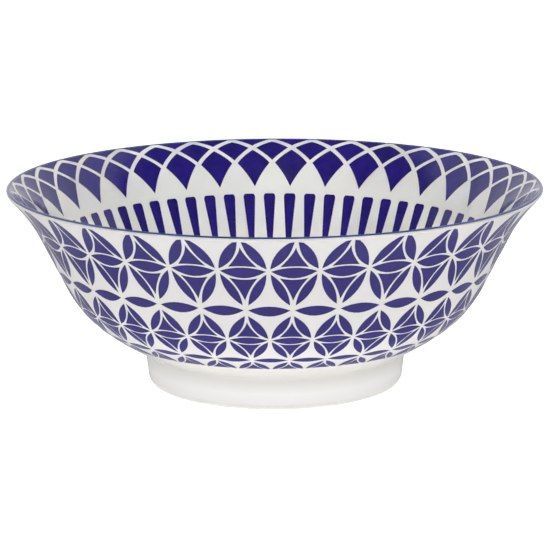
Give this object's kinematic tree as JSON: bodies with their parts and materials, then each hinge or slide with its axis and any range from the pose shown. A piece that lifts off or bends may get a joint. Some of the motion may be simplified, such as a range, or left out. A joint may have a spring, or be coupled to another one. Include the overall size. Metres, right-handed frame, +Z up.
{
  "type": "serving bowl",
  "caption": "Round footed porcelain serving bowl with a flared lip, a printed blue petal lattice outside, and a printed border and rays inside.",
  "frame": {"origin": "centre of the foot's standing ring, on the surface the bowl stands on", "axes": "+Z up along the bowl's axis, out of its mouth; the bowl is round, and X and Y lie along its standing plane, with the printed pattern's pictured side facing -Y"},
  "size_m": [0.2032, 0.2032, 0.0763],
  "materials": {
    "bisque": "fine matt unglazed porcelain",
    "glaze": "clear gloss glaze over white porcelain",
    "cobalt": "gloss cobalt-blue print"
  },
  "bodies": {
    "root": {"body": "bisque", "foot_ring": "bisque", "glaze_outside": "glaze", "glaze_inside": "glaze", "glaze_underside": "glaze", "rim_line": "cobalt", "lattice_transfer": "cobalt", "border_transfer": "cobalt", "ray_transfer": "cobalt"}
  },
  "joints": []
}
